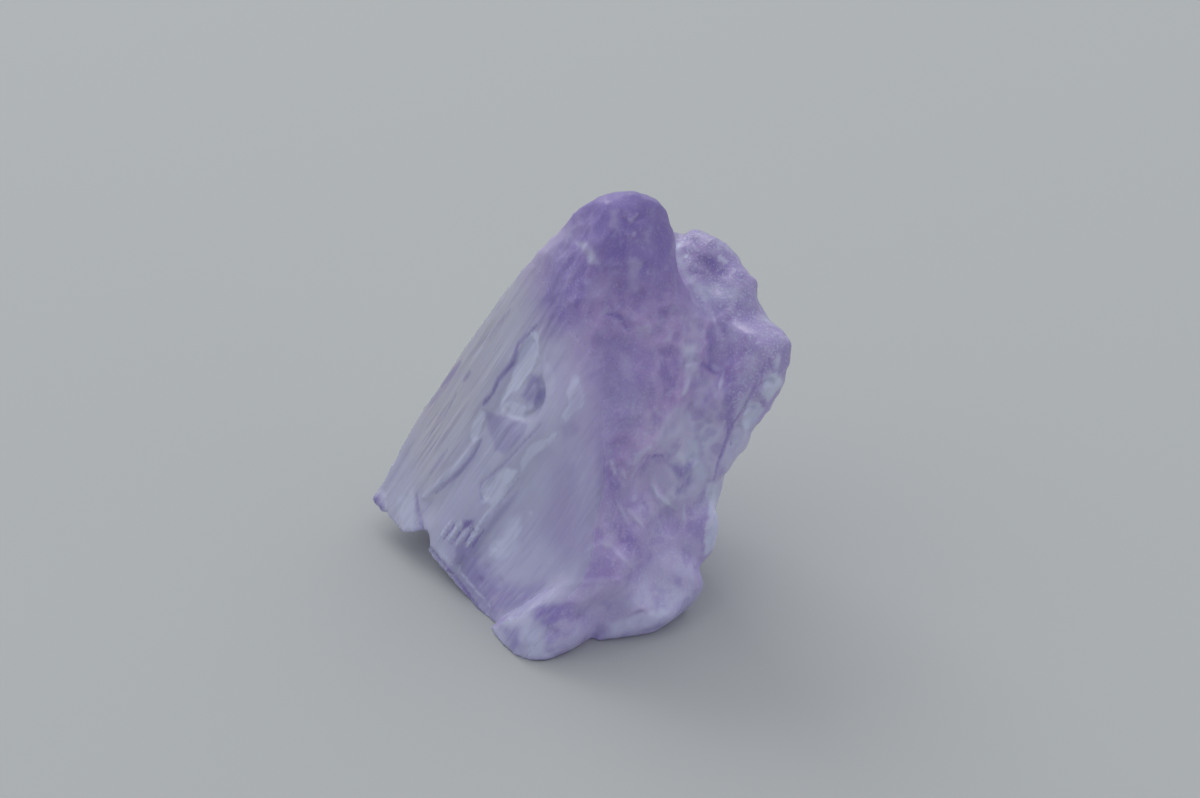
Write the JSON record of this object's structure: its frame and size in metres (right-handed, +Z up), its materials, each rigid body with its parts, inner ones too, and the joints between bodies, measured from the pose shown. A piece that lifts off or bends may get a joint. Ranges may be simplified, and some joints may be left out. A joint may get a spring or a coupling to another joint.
{
  "type": "raw kunzite crystal",
  "caption": "Broken and etched prism of lilac kunzite with a ledged cleavage face, standing tilted on a flat oblique base.",
  "frame": {"origin": "centre of the bounding box at its base, on the surface the crystal rests on", "axes": "+Z up as the crystal rests, its longest extent; +Y its shortest extent; the ledged cleavage face looks towards -X and -Y, the rough broken side towards +X"},
  "size_m": [0.0212, 0.0176, 0.0218],
  "materials": {
    "kunzite": "etched, see-through lilac"
  },
  "bodies": {
    "root": {"crystal": "kunzite"}
  },
  "joints": []
}
